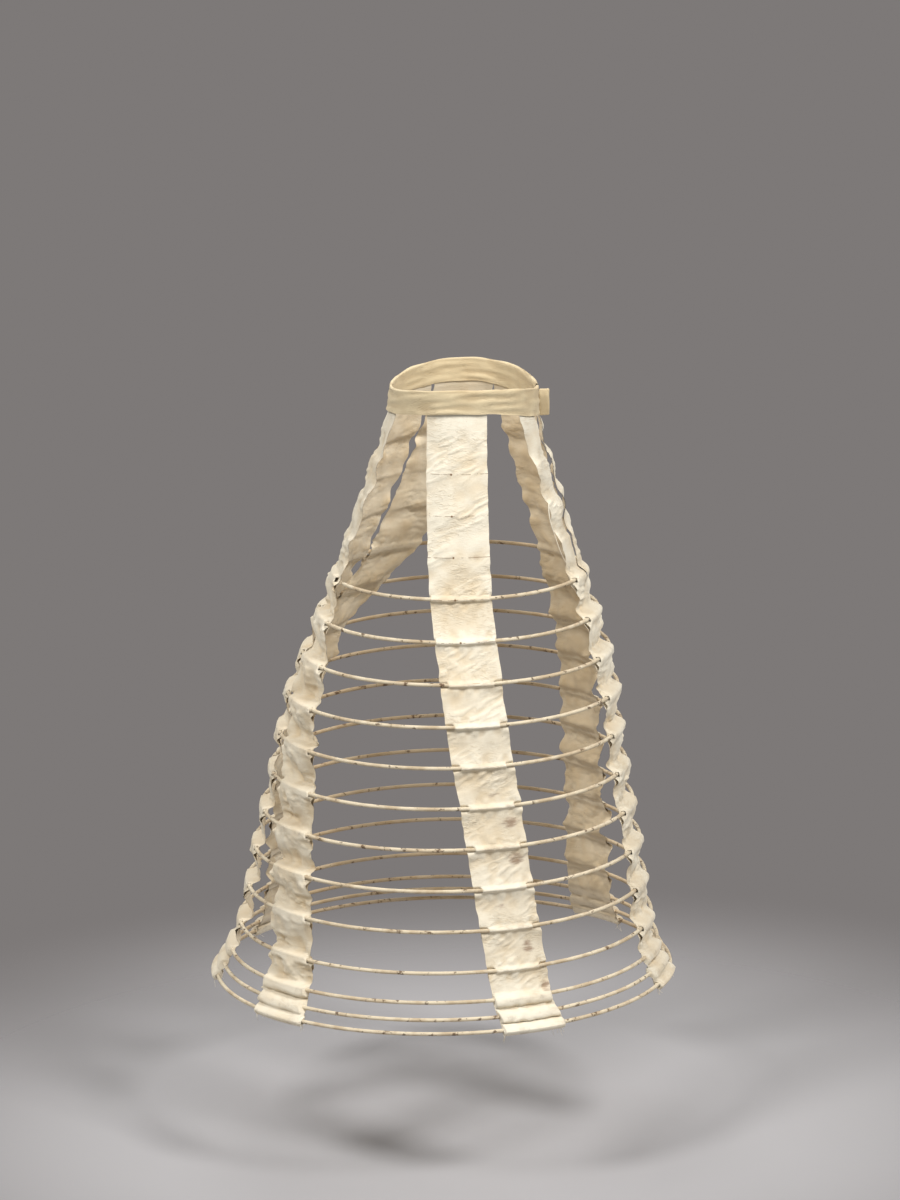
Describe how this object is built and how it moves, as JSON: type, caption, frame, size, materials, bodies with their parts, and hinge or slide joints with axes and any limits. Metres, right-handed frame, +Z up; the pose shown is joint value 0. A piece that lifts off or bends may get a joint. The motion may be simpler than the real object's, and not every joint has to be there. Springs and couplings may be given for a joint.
{
  "type": "cage crinoline",
  "caption": "Bell-shaped cage crinoline: a folded cotton waistband carries wide two-ply cotton tapes whose channels hold thread-covered wire hoops, the top hoop broken.",
  "frame": {"origin": "middle of the waist opening, halfway up the waistband", "axes": "+X towards the wearer's front, -Y towards the wearer's right, +Z up"},
  "size_m": [0.5765, 0.5708, 0.7589],
  "materials": {
    "band_cotton": "plain woven cotton, soft folds, cream gone yellow",
    "tape_cotton": "plain woven cotton tape, creased, cream with brown stains",
    "hoop_covering": "cotton thread wound over wire, straw with rust specks",
    "fastener_wire": "dull wire"
  },
  "bodies": {
    "root": {"waistband": "band_cotton", "waist_hook": "fastener_wire", "waist_eye": "fastener_wire", "front_tape": "tape_cotton", "right_front_tape": "tape_cotton", "right_back_tape": "tape_cotton", "centre_back_tape": "tape_cotton", "left_back_tape": "tape_cotton", "left_front_tape": "tape_cotton", "hoop_01": "hoop_covering", "hoop_02": "hoop_covering", "hoop_03": "hoop_covering", "hoop_04": "hoop_covering", "hoop_05": "hoop_covering", "hoop_06": "hoop_covering", "hoop_07": "hoop_covering", "hoop_08": "hoop_covering", "hoop_09": "hoop_covering", "hoop_10": "hoop_covering", "hoop_11": "hoop_covering", "hoop_12": "hoop_covering", "hoop_13": "hoop_covering"}
  },
  "joints": []
}
